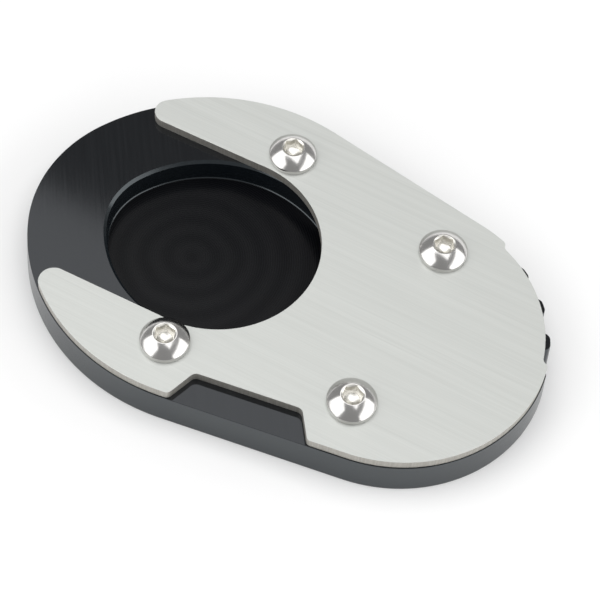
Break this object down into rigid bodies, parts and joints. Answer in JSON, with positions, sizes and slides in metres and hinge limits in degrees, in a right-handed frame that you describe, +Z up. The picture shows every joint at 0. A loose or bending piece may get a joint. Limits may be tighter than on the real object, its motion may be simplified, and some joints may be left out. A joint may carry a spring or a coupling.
{
  "type": "motorbike side stand foot enlarger",
  "caption": "Rounded foot plate that widens a motorbike's side stand, with a pocket for the stand's foot under a slotted steel plate held by button-head screws.",
  "frame": {"origin": "on the axis of the top plate's round hole, at the underside of the base", "axes": "+X from the pocket towards the nose, +Y to the left of that, +Z up through the plate and the screw heads"},
  "size_m": [0.1188, 0.0794, 0.0135],
  "materials": {
    "anodised": "satin black anodised, with fine milling marks",
    "brushed_plate": "brushed lengthways",
    "polished_screw": "polished"
  },
  "bodies": {
    "root": {"base_plate": "anodised", "top_plate": "brushed_plate", "screw_rear_left": "polished_screw", "screw_rear_right": "polished_screw", "screw_front_left": "polished_screw", "screw_front_right": "polished_screw"}
  },
  "joints": []
}
